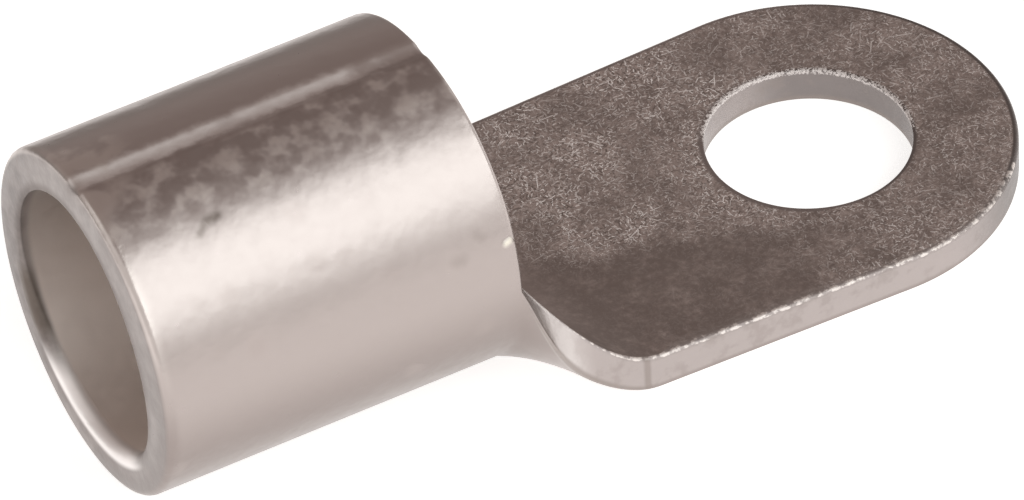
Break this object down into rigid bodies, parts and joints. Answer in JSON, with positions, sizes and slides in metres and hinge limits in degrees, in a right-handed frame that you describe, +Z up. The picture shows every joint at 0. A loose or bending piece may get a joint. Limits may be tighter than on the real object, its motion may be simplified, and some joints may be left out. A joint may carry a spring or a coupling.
{
  "type": "ring terminal",
  "caption": "Uninsulated ring terminal: a short round wire barrel, open at both ends, opens out through a flared neck into a flat tongue with a round end and a stud hole.",
  "frame": {"origin": "centre of the stud hole on the tongue's underside, the face that beds on the connection", "axes": "+X from the barrel towards the round tip of the tongue, +Z up along the stud hole"},
  "size_m": [0.041, 0.0168, 0.0145],
  "materials": {
    "tinned_copper": "satin tin plating with fine scratches on the tongue"
  },
  "bodies": {
    "root": {"ring_terminal": "tinned_copper"}
  },
  "joints": []
}
